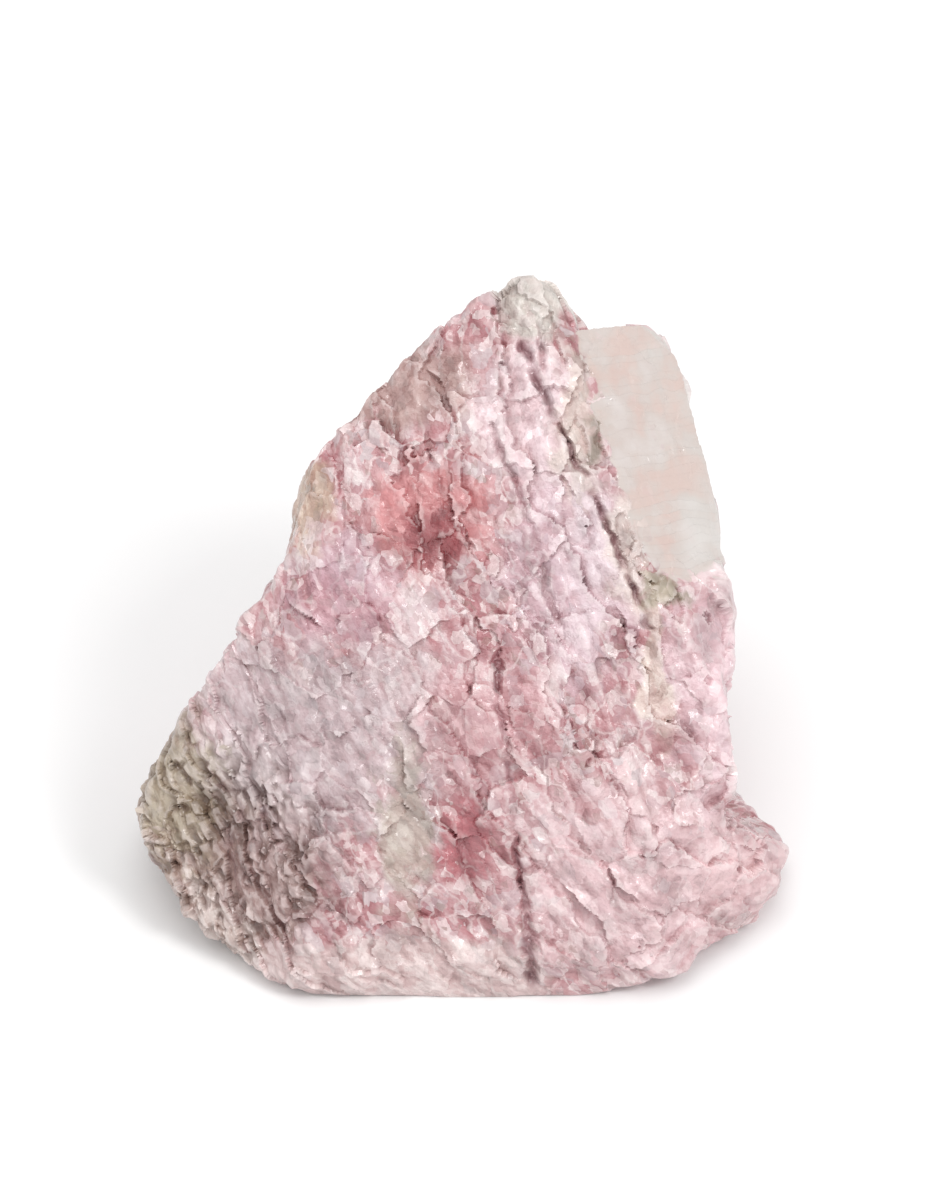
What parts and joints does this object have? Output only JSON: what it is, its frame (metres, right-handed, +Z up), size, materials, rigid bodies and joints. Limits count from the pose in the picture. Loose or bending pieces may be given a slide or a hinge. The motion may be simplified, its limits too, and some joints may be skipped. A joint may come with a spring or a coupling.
{
  "type": "rhodochrosite specimen",
  "caption": "Rough pink rhodochrosite stone, a broken block of banded rock with a broad sloping face, for display lying on its flat underside.",
  "frame": {"origin": "under the middle of the stone's bounding box, in the plane of its flat underside", "axes": "+Z up from the surface that the stone lies on; +X to the right as seen from the front, along the stone's longest side; the broad sloping face looks towards -Y and up"},
  "size_m": [0.0448, 0.0394, 0.0376],
  "materials": {
    "rhodochrosite": "satin"
  },
  "bodies": {
    "root": {"rhodochrosite_stone": "rhodochrosite"}
  },
  "joints": []
}
